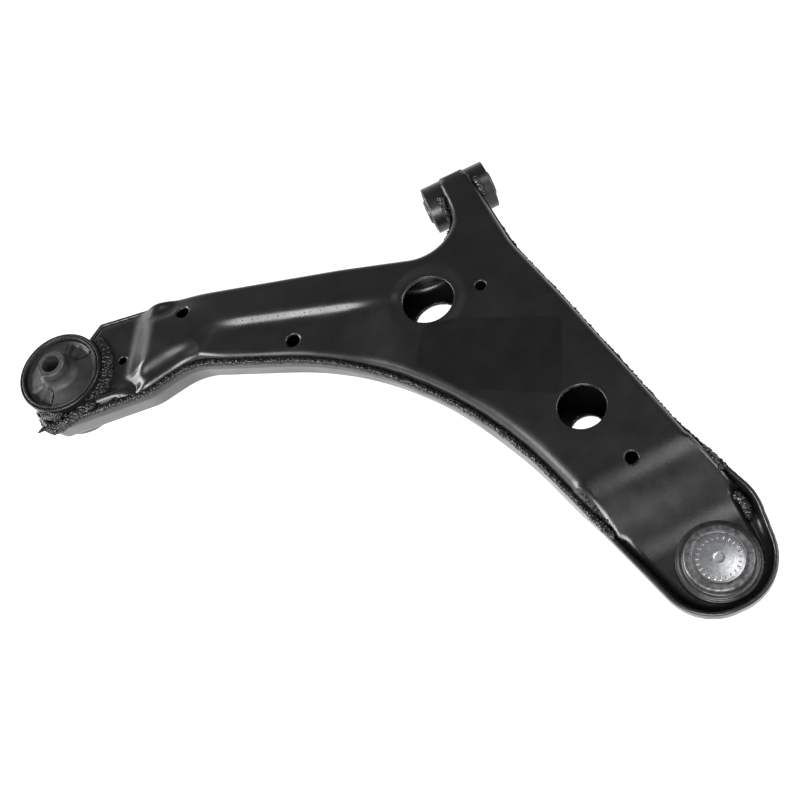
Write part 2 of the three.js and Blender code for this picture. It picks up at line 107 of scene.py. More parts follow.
# Plans of the ball joint seat, the rear limb's pan and the blank label.
SEAT_PLAN = [(63.5, -285, 10), (55.5, -252, 1), (-22.2, -252, 1), (11.5, -354, 30), (63, -354, 30)]
PAN_PLAN = [
    (-160, -33, 60), (-212, -13, 16), (-262, -70, 5), (-110, -180, 5), (-20, -120, 5), (-40, -79, 10),
]
LABEL = [
    (20.3, -140.2, 3), (-44, -105.5, 3), (-64, -101, 6), (-78.5, -124.2, 5),
    (-65, -148, 8), (-58, -157, 6), (-3.1, -190.7, 3),
]

# Straight bends across the pressings: a point on the bend, its direction and its run.
TAB_STEP = ((-252.5, -10), (-0.905, 0.425), 9.5)
SEAT_RAMP = ((30, -265), (0.05, -0.9987), 29.0)
FLOOR_RAMP = ((30, -252), (0.05, -0.9987), 32.0)
PAN_LEFT = ((-217, -26), (0.622, -0.784), 26.0)
PAN_RIGHT = ((-66, -76), (-0.93, 0.368), 40.0)

# Round holes: (x, y, radius), and (x, y, radius above, radius below) for those through both.
SMALL_HOLES = [
    (-17.3, -90.5, 3.7), (17.7, -251, 4), (-218.5, -1.1, 4.8), (-151.2, -61.3, 4.8), (-274.2, -9.4, 3),
]
LIGHTENING = [(-53.6, -81.5, 18.0, 17.9), (5.3, -205.7, 15.4, 11.5)]

low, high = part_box("front_eye_tube")
ORIGIN = (low + high) / 2 - Vector((FRONT_X, 0, FRONT_Z)) / 1000


def place(points):
    """Arm coordinates in millimetres to the row frame in metres."""
    return np.asarray(points, float) / 1000 + np.array(ORIGIN)


# ---------------------------------------------------------------- meshes
def make_piece(name, points, faces, material, body="arm", normals=None, replaces=()):
    mesh = bpy.data.meshes.new(name)
    mesh.from_pydata(place(points).tolist(), [], [list(f) for f in faces])
    mesh.polygons.foreach_set("use_smooth", [True] * len(mesh.polygons))
    mesh.update()
    if normals is not None:
        mesh.normals_split_custom_set_from_vertices(np.asarray(normals).tolist())
    mesh.materials.append(material)
    piece = bpy.data.objects.new(name, mesh)
    bpy.context.scene.collection.objects.link(piece)
    if body:
        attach(piece, body)
    if replaces:
        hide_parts(*replaces)
    return piece


def face_outwards(mesh):
    b = bmesh.new()
    b.from_mesh(mesh)
    bmesh.ops.recalc_face_normals(b, faces=b.faces)
    b.to_mesh(mesh)
    b.free()


def corner_arcs(corners):
    """Each rounded corner of a closed outline: arc centre, radius, side, tangent points."""
    arcs = []
    for i, (x, y, r) in enumerate(corners):
        at = np.array((x, y), float)
        before = at - np.array(corners[i - 1][:2], float)
        after = np.array(corners[(i + 1) % len(corners)][:2], float) - at
        before /= np.hypot(*before)
        after /= np.hypot(*after)
        turn = math.atan2(before[0] * after[1] - before[1] * after[0], before @ after)
        side = 1.0 if turn >= 0 else -1.0
        reach = r * math.tan(abs(turn) / 2)
        start = at - before * reach
        centre = start + side * r * np.array((-before[1], before[0]))
        arcs.append((centre, r, side, start, at + after * reach, turn))
    return arcs


def lap_corners(corners, laps):
    """The outline with each edge moved inwards by its own lap."""
    moved = []
    for i, (x, y, r) in enumerate(corners):
        at = np.array((x, y), float)
        before = at - np.array(corners[i - 1][:2], float)
        after = np.array(corners[(i + 1) % len(corners)][:2], float) - at
        before /= np.hypot(*before)
        after /= np.hypot(*after)
        turn = before[0] * after[1] - before[1] * after[0]
        near = at + (laps[i - 1] * after - laps[i] * before) / turn
        radius = max(0.2, r - math.copysign((laps[i - 1] + laps[i]) / 2, turn))
        moved.append((near[0], near[1], radius))
    return moved


def outline_points(corners, degrees=4.0, step=2.0):
    """Points along a rounded outline, in order."""
    arcs = corner_arcs(corners)
    points = []
    for i, (centre, r, side, start, end, turn) in enumerate(arcs):
        first = math.atan2(*(start - centre)[::-1])
        count = max(1, math.ceil(abs(turn) / math.radians(degrees)))
        for k in range(count + 1):
            angle = first + turn * k / count
            points.append(centre + r * np.array((math.cos(angle), math.sin(angle))))
        gap = arcs[(i + 1) % len(arcs)][3] - end
        count = int(np.hypot(*gap) // step)
        points.extend(end + gap * k / count for k in range(1, count))
    return np.array(points)


def outline_distance(corners, x, y):
    """Signed distance from a rounded outline, negative inside."""
    arcs = corner_arcs(corners)
    best = np.full(np.broadcast(x, y).shape, 1e6)

    def take(value):
        np.copyto(best, value, where=np.abs(value) < np.abs(best))

    for i, (centre, r, side, start, end, turn) in enumerate(arcs):
        dx, dy = x - centre[0], y - centre[1]
        middle = (start + end) / 2 - centre
        if np.hypot(*middle) > 1e-6:
            middle /= np.hypot(*middle)
            reach = np.hypot(dx, dy)
            within = dx * middle[0] + dy * middle[1] >= reach * math.cos(turn / 2) - 1e-9
            take(np.where(within, side * (reach - r), 1e6))
        along = arcs[(i + 1) % len(arcs)][3] - end
        length = np.hypot(*along)
        if length > 1e-6:
            along /= length
            run = (x - end[0]) * along[0] + (y - end[1]) * along[1]
            off = (x - end[0]) * along[1] - (y - end[1]) * along[0]
            past = np.maximum(np.maximum(-run, run - length), 0)
            take(np.where(off >= 0, 1, -1) * np.hypot(off, past))
    return best


def round_max(a, b, r):
    """The larger of two distances, with their edge rounded to radius r."""
    return np.minimum(np.maximum(a, b), -r) + np.hypot(np.maximum(a + r, 0), np.maximum(b + r, 0))


def round_min(a, b, r):
    return -round_max(-a, -b, r)


def bend(s, soft):
    """Zero before s = 0 and s after it, with a bend as wide as soft on either side."""
    return np.where(s < -soft, 0, np.where(s > soft, s, (s + soft) ** 2 / (4 * soft)))


def slope(s, run, drop, soft):
    return drop * (bend(s, soft) - bend(s - run, soft)) / run


def along(line, x, y):
    (px, py), (ux, uy), _ = line
    return ((x - px) * ux + (y - py) * uy) / math.hypot(ux, uy)


def surface_net(field, low, high, step):
    """A quad mesh of the surface where field(x, y, z) is zero, with its normals."""
    axes = [np.arange(a - 2 * step, b + 3 * step, step) for a, b in zip(low, high)]
    x, y, z = (v.reshape([-1 if k == n else 1 for k in range(3)]) for n, v in enumerate(axes))
    value = np.ascontiguousarray(np.broadcast_to(field(x, y, z), [len(v) for v in axes]))
    inside = value < 0
    corners = [(i, j, k) for i in (0, 1) for j in (0, 1) for k in (0, 1)]
    shape = [n - 1 for n in value.shape]

    def shifted(array, c):
        return array[c[0]:c[0] + shape[0], c[1]:c[1] + shape[1], c[2]:c[2] + shape[2]]

    count = sum(shifted(inside, c).astype(np.int8) for c in corners)
    cells = np.argwhere((count > 0) & (count < 8))
    index = np.full(shape, -1, np.int32)
    index[tuple(cells.T)] = np.arange(len(cells))
    total, hits = np.zeros((len(cells), 3)), np.zeros(len(cells))
    for a in corners:
        for n in range(3):
            if a[n]:
                continue
            b = tuple(1 if k == n else a[k] for k in range(3))
            va = value[tuple((cells + a).T)]
            vb = value[tuple((cells + b).T)]
            cross = (va < 0) != (vb < 0)
            share = np.where(cross, va / np.where(cross, va - vb, 1), 0)
            point = np.array(a, float) + share[:, None] * (np.array(b) - a)
            total += np.where(cross[:, None], point, 0)
            hits += cross
    points = (cells + total / hits[:, None]) * step + np.array([v[0] for v in axes])

    faces = []
    for n in range(3):
        m, o = (n + 1) % 3, (n + 2) % 3
        near = [slice(None)] * 3
        far = [slice(None)] * 3
        near[n], far[n] = slice(0, -1), slice(1, None)
        edges = np.argwhere(inside[tuple(near)] != inside[tuple(far)])
        edges = edges[(edges[:, m] > 0) & (edges[:, o] > 0)]
        starts_inside = inside[tuple(edges.T)]
        ring = []
        for dm, do in ((-1, -1), (0, -1), (0, 0), (-1, 0)):
            cell = edges.copy()
            cell[:, m] += dm
            cell[:, o] += do
            ring.append(index[tuple(cell.T)])
        quads = np.stack(ring, 1)
        quads[~starts_inside] = quads[~starts_inside][:, ::-1]
        faces.append(quads)
    faces = np.concatenate(faces)

    def gradient(p, reach=0.2):
        parts = []
        for n in range(3):
            ahead, behind = p.copy(), p.copy()
            ahead[:, n] += reach
            behind[:, n] -= reach
            parts.append((field(*ahead.T) - field(*behind.T)) / (2 * reach))
        return np.stack(parts, 1)

    for _ in range(2):
        g = gradient(points)
        size = np.maximum((g * g).sum(1), 0.05)
        move = -(field(*points.T) / size)[:, None] * g
        far = np.maximum(np.hypot(np.hypot(move[:, 0], move[:, 1]), move[:, 2]) / (0.5 * step), 1)
        points = points + move / far[:, None]
    g = gradient(points)
    return points, faces, g / np.maximum(np.linalg.norm(g, axis=1), 1e-9)[:, None]


# ---------------------------------------------------------------- pressings
def neck_roll(y):
    """How far a sheet that wraps the front tube has turned away at y."""
    outer = FRONT_R + SHEET
    return outer - np.sqrt(outer ** 2 - np.clip(y, 0, 0.8 * outer) ** 2)


def upper_top(x, y, rim):
    """Height of the upper pressing's outer face."""
    pan = slope(-outline_distance(PAN_PLAN, x, y), 7.5, 1, 2.8)
    pan = pan * slope(along(PAN_LEFT, x, y), PAN_LEFT[2] - 6, 1, 10)
    pan = pan * slope(along(PAN_RIGHT, x, y), PAN_RIGHT[2], 1, 14)
    shelf = slope(rim + 19, 8, 1, 3) * slope(along(PAN_LEFT, x, y) + 45, 12, 1, 4)
    shelf = shelf * (1 - slope(x + 232, 30, 1, 10))
    big = np.hypot(x - LIGHTENING[0][0], y - LIGHTENING[0][1])
    dish = slope(27.5 - big, 7, DISH, 1.6)
    step = along(TAB_STEP, x, y)
    rear = slope(step, TAB_STEP[2], TAB_Z, 8) - PAN_DEPTH * np.maximum(pan, shelf)
    rear = round_max(rear, TAB_Z, 1.5)
    ridge = slope(rim + 16, 6, 1, 2.5) - slope(rim + 9.5, 4.5, 1, 1.6)
    ridge = ridge * slope(step - 8, 12, 1, 3) * (y < -12)
    ramp = slope(along(SEAT_RAMP, x, y), SEAT_RAMP[2], SEAT_Z, 16)
    return rear + RIDGE * ridge + ramp - dish - neck_roll(y) * (x > -40)


def neck_plan(x, y, half):
    """Signed distance in plan from the neck that reaches up to the front tube."""
    return np.maximum(np.maximum(np.abs(x + 0.75) - half, y - 14.2), -30 - y)


def cut_bores(shell, x, y, z):
    """Room for the front tube, the rear ring and the ball joint housing."""
    tube = np.minimum(FRONT_R + GAP - np.hypot(y, z - FRONT_Z), x + 30)
    ring = REAR_R + GAP - np.hypot(x - REAR_X, y)
    housing = HOUSING_R + GAP - np.hypot(x - BALL[0], y - BALL[1])
    for cut in (tube, ring, housing):
        shell = round_max(shell, cut, 0.6)
    return shell


UPPER = lap_corners(RIM, EDGE_LAPS)


def upper_field(x, y, z):
    """Zero on the skin of the upper pressing, negative inside its sheet."""
    rim = outline_distance(RIM, x, y)
    edge = outline_distance(UPPER, x, y)
    run = along(SEAT_RAMP, x, y)
    body = np.maximum(edge, run - 24)
    plan = round_min(body, outline_distance(SEAT_PLAN, x, y), 4)
    plan = round_min(plan, neck_plan(x, y, 11.15), 3)
    flank = (plan + UPPER_DRAFT * (z - OVERLAP_Z)) * 0.99
    # the fillet is wider along the hollow edge of the front limb
    hollow = slope(-150 - y, 40, 1, 15) * (1 - slope(-265 - y, 30, 1, 10))
    hollow = hollow * (x + 15 + 0.22 * (y + 120) < 0)
    outside = round_max(z - upper_top(x, y, rim), flank, UPPER_FILLET + HOLLOW_FILLET * hollow)
    # upright thickness grows on the steep step, so that the sheet keeps its gauge there
    step = along(TAB_STEP, x, y)
    steep = slope(step + 3, 3, 1, 1) - slope(step - TAB_STEP[2], 3, 1, 1)
    shell = np.maximum(outside, -outside - SHEET * (1 + 0.5 * steep))
    # the hem ends higher where the wall comes flush with the rim
    flush = slope(rim - edge + SHEET, 0.5, 1, 0.1) * (step < 0)
    hem = OVERLAP_Z + slope(run, SEAT_RAMP[2], SEAT_Z - SHEET - 0.2 - OVERLAP_Z, 4) + 4.2 * flush
    shell = round_max(shell, hem - z, 0.8)
    for hx, hy, r, *_ in SMALL_HOLES + LIGHTENING:
        shell = round_max(shell, r - np.hypot(x - hx, y - hy), 0.9)
    return cut_bores(shell, x, y, z)


def lower_field(x, y, z):
    """Zero on the skin of the lower pressing, negative inside its sheet."""
    rim = outline_distance(RIM, x, y)
    rim = round_min(rim, neck_plan(x, y, 12.25), 3)
    draft = LOWER_DRAFT - slope(-140 - y, 50, HOLLOW_DRAFT, 10)
    flank = (rim + draft * bend(DRAFT_Z - z, 0.8)) * 0.98
    seat_rise = DEPTH + SEAT_Z - 2 * SHEET - GAP
    floor = slope(along(FLOOR_RAMP, x, y), FLOOR_RAMP[2], seat_rise, 6) - DEPTH
    floor = floor + neck_roll(y) * (x > -40)
    outside = round_max(floor - z, flank, LOWER_FILLET)
    shell = np.maximum(outside, -outside - SHEET)
    for hx, hy, _, r in LIGHTENING:
        shell = round_max(shell, r - np.hypot(x - hx, y - hy), 0.6)
    shell = round_max(shell, z - RIM_Z, 1.0)
    return cut_bores(shell, x, y, z)


# ---------------------------------------------------------------- turned pieces
def rounded_profile(profile, closed):
    """(r, z, corner radius) points to a fine profile of (r, z)."""
    points = []
    n = len(profile)
    for i, (r, z, soft) in enumerate(profile):
        at = np.array((r, z), float)
        if soft == 0 or (not closed and i in (0, n - 1)):
            points.append(at)
            continue
        before = at - np.array(profile[i - 1][:2], float)
        after = np.array(profile[(i + 1) % n][:2], float) - at
        reach = min(soft, 0.45 * np.hypot(*before), 0.45 * np.hypot(*after))
        start = at - before / np.hypot(*before) * reach
        end = at + after / np.hypot(*after) * reach
        for k in range(5):
            t = k / 4
            points.append((1 - t) ** 2 * start + 2 * t * (1 - t) * at + t * t * end)
    return np.array(points)


def turned(profile, segments=96, closed=True, shape=None):
    """Points and faces of a profile turned about Z; shape(points) may move the points."""
    line = rounded_profile(profile, closed)
    angle = np.arange(segments) * 2 * math.pi / segments
    on_axis = not closed
    points, rings = [], []
    for k, (r, z) in enumerate(line):
        if on_axis and k in (0, len(line) - 1):
            rings.append([len(points)] * segments)
            points.append((0.0, 0.0, z))
        else:
            rings.append(list(range(len(points), len(points) + segments)))
            points.extend(zip(r * np.cos(angle), r * np.sin(angle), [z] * segments))
    pairs = list(zip(rings, rings[1:])) + ([(rings[-1], rings[0])] if closed else [])
    faces = []
    for lower, upper in pairs:
        for i in range(segments):
            j = (i + 1) % segments
            face = [lower[i], lower[j], upper[j], upper[i]]
            faces.append(list(dict.fromkeys(face)))
    points = np.array(points, float)
    if shape is not None:
        points = shape(points)
    return points, faces


def about_x(points):
    """A piece turned about Z, laid along the front bush's axis."""
    x, y, z = points.T
    return np.stack((z + FRONT_X, y, FRONT_Z - x), 1)


def about_rear(points):
    return points + (REAR_X, 0, 0)


def about_ball(points):
    return points + (BALL[0], BALL[1], 0)


# ---------------------------------------------------------------- materials
def new_material(name, color, roughness, metallic=0.0, **settings):
    material = bpy.data.materials.new(name)
    material.use_nodes = True
    shader = material.node_tree.nodes["Principled BSDF"]
    shader.inputs["Base Color"].default_value = (*color, 1)
    shader.inputs["Roughness"].default_value = roughness
    shader.inputs["Metallic"].default_value = metallic
    for key, value in settings.items():
        shader.inputs[key.replace("_", " ")].default_value = value
    return material


class Nodes:
    """Short calls for the nodes of one material."""

    def __init__(self, material):
        self.tree = material.node_tree
        self.shader = self.tree.nodes["Principled BSDF"]
        self.coordinates = self.add("ShaderNodeTexCoord").outputs["Object"]

    def add(self, kind, **settings):
        node = self.tree.nodes.new(kind)
        for key, value in settings.items():
            setattr(node, key, value)
        return node

    def link(self, a, b):
        self.tree.links.new(a, b)

    def stretched(self, scale):
        node = self.add("ShaderNodeMapping")
        node.inputs["Scale"].default_value = scale
        self.link(self.coordinates, node.inputs["Vector"])
        return node.outputs["Vector"]

    def noise(self, scale, detail=3.0, roughness=0.5, vector=None):
        node = self.add("ShaderNodeTexNoise")
        node.inputs["Scale"].default_value = scale
        node.inputs["Detail"].default_value = detail
        node.inputs["Roughness"].default_value = roughness
        self.link(vector or self.coordinates, node.inputs["Vector"])
        return node.outputs["Fac"]

    def cells(self, scale, vector=None):
        node = self.add("ShaderNodeTexVoronoi")
        node.inputs["Scale"].default_value = scale
        self.link(vector or self.coordinates, node.inputs["Vector"])
        return node.outputs["Distance"]

    def ramp(self, value, low, high, to_low=0.0, to_high=1.0):
        node = self.add("ShaderNodeMapRange", clamp=True)
        for key, number in (("From Min", low), ("From Max", high), ("To Min", to_low), ("To Max", to_high)):
            node.inputs[key].default_value = number
        self.link(value, node.inputs["Value"])
        return node.outputs["Result"]

    def mix(self, share, a, b):
        node = self.add("ShaderNodeMix", data_type="RGBA")
        self.link(share, node.inputs["Factor"])
        colors = [s for s in node.inputs if s.type == "RGBA"]
        for socket, value in zip(colors, (a, b)):
            if isinstance(value, tuple):
                socket.default_value = (*value, 1)
            else:
                self.link(value, socket)
        return [s for s in node.outputs if s.type == "RGBA"][0]

    def math(self, operation, a, b):
        node = self.add("ShaderNodeMath", operation=operation)
        for socket, value in zip(node.inputs, (a, b)):
            if isinstance(value, (int, float)):
                socket.default_value = value
            else:
                self.link(value, socket)
        return node.outputs["Value"]

    def bump(self, height, strength, distance, normal=None):
        node = self.add("ShaderNodeBump")
        node.inputs["Strength"].default_value = strength
        node.inputs["Distance"].default_value = distance
        self.link(height, node.inputs["Height"])
        if normal:
            self.link(normal, node.inputs["Normal"])
        return node.outputs["Normal"]

    def set(self, **sockets):
        for key, value in sockets.items():
            self.link(value, self.shader.inputs[key.replace("_", " ")])


COAT_SHADE = (0.0055, 0.0055, 0.0058)


def black_coat():
    material = new_material("black_coat", COAT_SHADE, 0.3, IOR=1.5)
    n = Nodes(material)
    cloud = n.noise(45, 4, 0.6)
    n.set(Roughness=n.ramp(cloud, 0.3, 0.7, 0.24, 0.36))
    scratch = n.noise(230, 2, 0.6, n.stretched((1.0, 9.0, 3.0)))
    marks = n.math("MULTIPLY", n.ramp(scratch, 0.68, 0.74), n.ramp(n.noise(18, 2), 0.5, 0.62))
    n.set(Base_Color=n.mix(marks, COAT_SHADE, (0.025, 0.025, 0.025)))
    peel = n.bump(n.noise(900, 2), 0.12, 0.0002)
    n.set(Normal=n.bump(n.noise(60, 2), 0.12, 0.0012, peel))
    return material


def weld_metal():
    material = new_material("weld_metal", (0.006, 0.006, 0.0063), 0.2, IOR=1.36)
    n = Nodes(material)
    grain = n.noise(700, 2, 0.5)
    n.set(Roughness=n.ramp(n.noise(400, 3), 0.3, 0.7, 0.1, 0.34))
    scale = n.ramp(n.noise(500, 3, 0.7), 0.5, 0.8)
    n.set(Base_Color=n.mix(scale, (0.004, 0.004, 0.0042), (0.03, 0.03, 0.032)))
    n.set(Normal=n.bump(grain, 0.3, 0.0005))
    return material


def rubber(name, shade, roughness):
    material = new_material(name, (shade, shade, shade * 1.03), roughness, IOR=1.45)
    n = Nodes(material)
    bloom = n.noise(120, 5, 0.65)
    n.set(Base_Color=n.mix(n.ramp(bloom, 0.35, 0.7), (shade * 0.75,) * 3, (shade * 1.5,) * 3))
    n.set(Roughness=n.ramp(n.noise(300, 3), 0.3, 0.7, roughness - 0.1, roughness + 0.08))
    n.set(Normal=n.bump(n.noise(1500, 3, 0.6), 0.25, 0.0003))
    return material


def metal(name, dark, light, roughness, metallic=1.0, mottle=200, grain=(1, 1, 1)):
    material = new_material(name, dark, roughness, metallic)
    n = Nodes(material)
    patch = n.noise(mottle, 5, 0.7)
    n.set(Base_Color=n.mix(n.ramp(patch, 0.38, 0.64), dark, light))
    fine = n.noise(1400, 3, 0.6, n.stretched(grain))
    n.set(Roughness=n.ramp(fine, 0.3, 0.7, roughness - 0.08, roughness + 0.1))
    n.set(Normal=n.bump(fine, 0.18, 0.0002))
    return material


def polymer():
    material = new_material("bearing_polymer", (0.78, 0.76, 0.68), 0.45)
    n = Nodes(material)
    n.set(Base_Color=n.mix(n.noise(90, 3), (0.74, 0.72, 0.64), (0.8, 0.78, 0.7)))
    n.set(Normal=n.bump(n.noise(1200, 2), 0.1, 0.0002))
    return material


def label_film():
    material = new_material("label_film", (0.004, 0.004, 0.004), 0.4, IOR=1.33)
    n = Nodes(material)
    n.set(Roughness=n.ramp(n.noise(70, 3), 0.3, 0.7, 0.32, 0.42))
    n.set(Normal=n.bump(n.noise(1100, 2), 0.08, 0.0002))
    return material


COAT = black_coat()
WELD = weld_metal()
BUSH_RUBBER = rubber("bush_rubber", 0.011, 0.55)
BOOT_RUBBER = rubber("boot_rubber", 0.014, 0.5)
BUSH_STEEL = metal("bush_steel", (0.045, 0.045, 0.047), (0.09, 0.09, 0.095), 0.42, 0.7)
HOUSING_STEEL = metal("housing_steel", (0.012, 0.012, 0.0125), (0.03, 0.03, 0.032), 0.3, 0.2)
CRIMP_STEEL = metal("crimp_steel", (0.045, 0.045, 0.047), (0.15, 0.15, 0.153), 0.42, 0.8, 330)
CAP_ZINC = metal("cap_zinc", (0.3, 0.305, 0.315), (0.38, 0.385, 0.395), 0.32, 0.9, 160)
STUD_STEEL = metal("stud_steel", (0.42, 0.42, 0.41), (0.58, 0.58, 0.57), 0.3)
POLYMER = polymer()
FILM = label_film()


# ---------------------------------------------------------------- building: pressings and label
def add_pressing(name, field, low_z, replaced):
    points, faces, normals = surface_net(field, (-358, -364, low_z), (76, 36, 0), GRID)
    make_piece(name, points, faces.tolist(), COAT, normals=normals, replaces=[replaced])


def add_label():
    """A thin film with a softened edge, a hair above the upper pressing."""
    rings = []
    for inset, z in ((0, 0.12), (0, 0.3), (0.25, 0.42)):
        corners = outline_points(LABEL, 6, 4)
        middle = corners.mean(0)
        inward = middle - corners
        inward /= np.hypot(*inward.T)[:, None]
        rings.append(np.column_stack((corners + inset * inward, np.full(len(corners), z))))
    count = len(rings[0])
    points = np.concatenate(rings)
    faces = [list(range(count))[::-1], [2 * count + i for i in range(count)]]
    for level in (0, count):
        for i in range(count):
            j = (i + 1) % count
            faces.append([level + i, level + j, level + count + j, level + count + i])
    up = np.tile((0.0, 0.0, 1.0), (len(points), 1))
    make_piece("blank_film_label", points, faces, FILM, normals=up, replaces=["blank_label"])


# ---------------------------------------------------------------- building: welds
def run_length(path):
    """Distance along a line of points, from its first point to each of them."""
    return np.concatenate(([0], np.cumsum(np.linalg.norm(np.diff(path, axis=0), axis=1))))


def weld_bead(name, path, width, height, seed, replaced, pitch=2.2, rough=1.0, up=(0, 0, 1)):
    """A rippled bead along path: width across it and height along up, both in millimetres."""
    path = np.asarray(path, float)
    length = run_length(path)
    count = max(8, int(length[-1] / 0.7))
    s = np.linspace(0, length[-1], count)
    line = np.stack([np.interp(s, length, path[:, k]) for k in range(3)], 1)
    ahead = np.gradient(line, axis=0)
    ahead /= np.linalg.norm(ahead, axis=1)[:, None]
    ups = np.broadcast_to(np.asarray(up, float), line.shape)
    side = np.cross(ahead, ups)
    side /= np.linalg.norm(side, axis=1)[:, None]
    ups = np.cross(side, ahead)
    sides = 14
    points = []
    for i in range(count):
        wander = noise.noise(Vector((s[i] / 9, seed * 7.1, 0)))
        ripple = 1 + 0.1 * math.sin(2 * math.pi * s[i] / pitch + 3 * wander) + 0.28 * wander
        end = math.sqrt(max(0.02, min(1, min(s[i], length[-1] - s[i]) / (0.8 * width))))
        for k in range(sides):
            angle = 2 * math.pi * k / sides
            across = math.copysign(abs(math.cos(angle)) ** 0.85, math.cos(angle)) * width / 2
            tall = math.copysign(abs(math.sin(angle)) ** 0.85, math.sin(angle)) * height / 2
            at = line[i] + (side[i] * across + ups[i] * tall) * ripple * end
            lump = noise.noise(Vector(at) / 1.3 + Vector((seed, 0, 0))) + 0.6 * noise.noise(Vector(at) / 0.6)
            out = side[i] * math.cos(angle) + ups[i] * math.sin(angle)
            points.append(at + out * rough * lump * end)
    faces = [list(range(sides))[::-1], [(count - 1) * sides + k for k in range(sides)]]
    for i in range(count - 1):
        for k in range(sides):
            j = (k + 1) % sides
            a, b = i * sides, (i + 1) * sides
            faces.append([a + k, b + k, b + j, a + j][::-1])
    return make_piece(name, np.array(points), faces, WELD, replaces=replaced)


def along_rim(start, end, inset, z):
    """The stretch of the rim, counter-clockwise, from nearest start to nearest end."""
    line = outline_points(RIM, 3, 1.5)
    ahead = np.roll(line, -1, 0) - np.roll(line, 1, 0)
    ahead /= np.hypot(*ahead.T)[:, None]
    line = line + inset * np.column_stack((-ahead[:, 1], ahead[:, 0]))
    first = int(np.argmin(np.hypot(*(line - start).T)))
    last = int(np.argmin(np.hypot(*(line - end).T)))
    line = np.roll(line, -first, 0)[: (last - first) % len(line) + 1]
    return np.column_stack((line, np.full(len(line), z)))


def add_seam_welds():
    inner = along_rim((-352, -33), (-12, -290), 2.0, -10.4)
    rear = along_rim((-15.5, -30), (-236, 24), 1.2, -12.0)
    front = along_rim((66, -278), (18, -44), 0.9, -12.0)
    weld_bead("inner_seam_bead", inner, 4.4, 4.6, 3, ["inner_seam_weld"])
    weld_bead("rear_seam_bead", rear, 2.8, 3.0, 11, ["rear_seam_weld"])
    weld_bead("front_seam_bead", front, 2.4, 2.8, 19, ["front_seam_weld"])


def lump_weld(name, places, replaced, rough=0.3, seed=0.0):
    """Runs of molten blobs, each (x, y, z, radius), melted into one another."""
    places = np.array(places, float)

    def field(x, y, z):
        shape = np.broadcast(x, y, z).shape
        value = np.full(shape, 50.0)
        for px, py, pz, r in places:
            ball = np.sqrt((x - px) ** 2 + (y - py) ** 2 + (z - pz) ** 2) - r
            value = round_min(value, ball, 1.2)
        wave = np.sin(1.9 * x + seed) * np.sin(2.3 * y + 1.3)
        wave = wave + np.sin(2.7 * z + 1.1 * x) * np.sin(1.7 * y + 0.7 * seed)
        return value + rough * wave * 0.6
    reach = places[:, 3:] + 2
    lowest = (places[:, :3] - reach).min(0)
    highest = (places[:, :3] + reach).max(0)
    points, faces, normals = surface_net(field, lowest, highest, FINE_GRID)
    return make_piece(name, points, faces.tolist(), WELD, normals=normals, replaces=replaced)


def blobs(path, radius, seed, spread=0.5, spacing=2.0):
    """Blob places along a line of points, with sizes that vary."""
    random = np.random.default_rng(seed)
    path = np.asarray(path, float)
    length = run_length(path)
    s = np.arange(0, length[-1] + 0.1, spacing)
    line = np.stack([np.interp(s, length, path[:, k]) for k in range(3)], 1)
    line += random.normal(0, spread * 0.5, line.shape)
    size = radius * (1 + spread * random.uniform(-0.35, 0.45, len(s)))
    return np.column_stack((line, size))


def ring_path(centre, radius, start, end, z, count=40):
    angle = np.radians(np.linspace(start, end, count))
    return np.column_stack((centre[0] + radius * np.cos(angle), centre[1] + radius * np.sin(angle),
                            np.full(count, z)))


def eye_path(x, start, end, radius):
    """Round the front tube at x, angles from straight up towards the near side."""
    angle = np.radians(np.linspace(start, end, 30))
    return np.column_stack((np.full(30, x), -radius * np.sin(angle), FRONT_Z + radius * np.cos(angle)))


def add_eye_welds():
    lump_weld("front_eye_bead_rear", blobs(eye_path(-14.8, 22, 78, 18.6), 2.5, 5),
              ["front_eye_weld_rear"], seed=1.0)
    lump_weld("front_eye_bead_front", blobs(eye_path(13.8, 15, 78, 18.4), 2.2, 6),
              ["front_eye_weld_front"], seed=2.0)
    centre = (REAR_X, 0)
    tight = blobs(ring_path(centre, REAR_R + 1.6, -66, 32, TAB_Z + 1.8), 2.6, 7)
    wide = blobs(ring_path(centre, REAR_R + 5.0, -64, 26, TAB_Z + 0.4), 2.4, 12)
    tail_line = [(-304, -35, -9), (-314, -37, -10), (-326, -38, -12), (-338, -37, -14), (-344, -31, -15)]
    tail = blobs(tail_line, 3.6, 8, spacing=2.4)
    corner_line = [(-330, -31, -9), (-339, -26, -11), (-343, -24, -16), (-344, -22, -22), (-342, -29, -22)]
    corner = blobs(corner_line, 4.2, 15, spacing=2.8)
    spike = [(-342 - 0.9 * k, -32.5 - 0.5 * k, -13 + 0.35 * k, 1.7 - 0.15 * k) for k in range(8)]
    lump_weld("rear_eye_bead", np.concatenate((tight, wide, tail, corner, spike)), ["rear_eye_weld"],
              rough=0.7, seed=3.0)
    fold = blobs([(59.5, -263, -9), (62, -270, -10.5), (63, -277, -12.5)], 2.4, 9)
    gutter = blobs([(64.5, -295, -17), (66.5, -303, -18), (65, -310, -18.5)], 2.8, 10)
    lump_weld("seat_bead", np.concatenate((fold, gutter)), ["seat_weld"], rough=0.5, seed=4.0)


# ---------------------------------------------------------------- building: bushes
def add_turned(name, profile, placing, material, body, replaced, segments=96, closed=True, shape=None):
    points, faces = turned(profile, segments, closed, shape)
    piece = make_piece(name, placing(points), faces, material, body, replaces=[replaced])
    face_outwards(piece.data)
    piece.data.set_sharp_from_angle(angle=math.radians(50))
    return piece


def ring_profile(inner, outer, z0, z1, soft):
    return [(inner, z0, soft), (outer, z0, soft), (outer, z1, soft), (inner, z1, soft)]


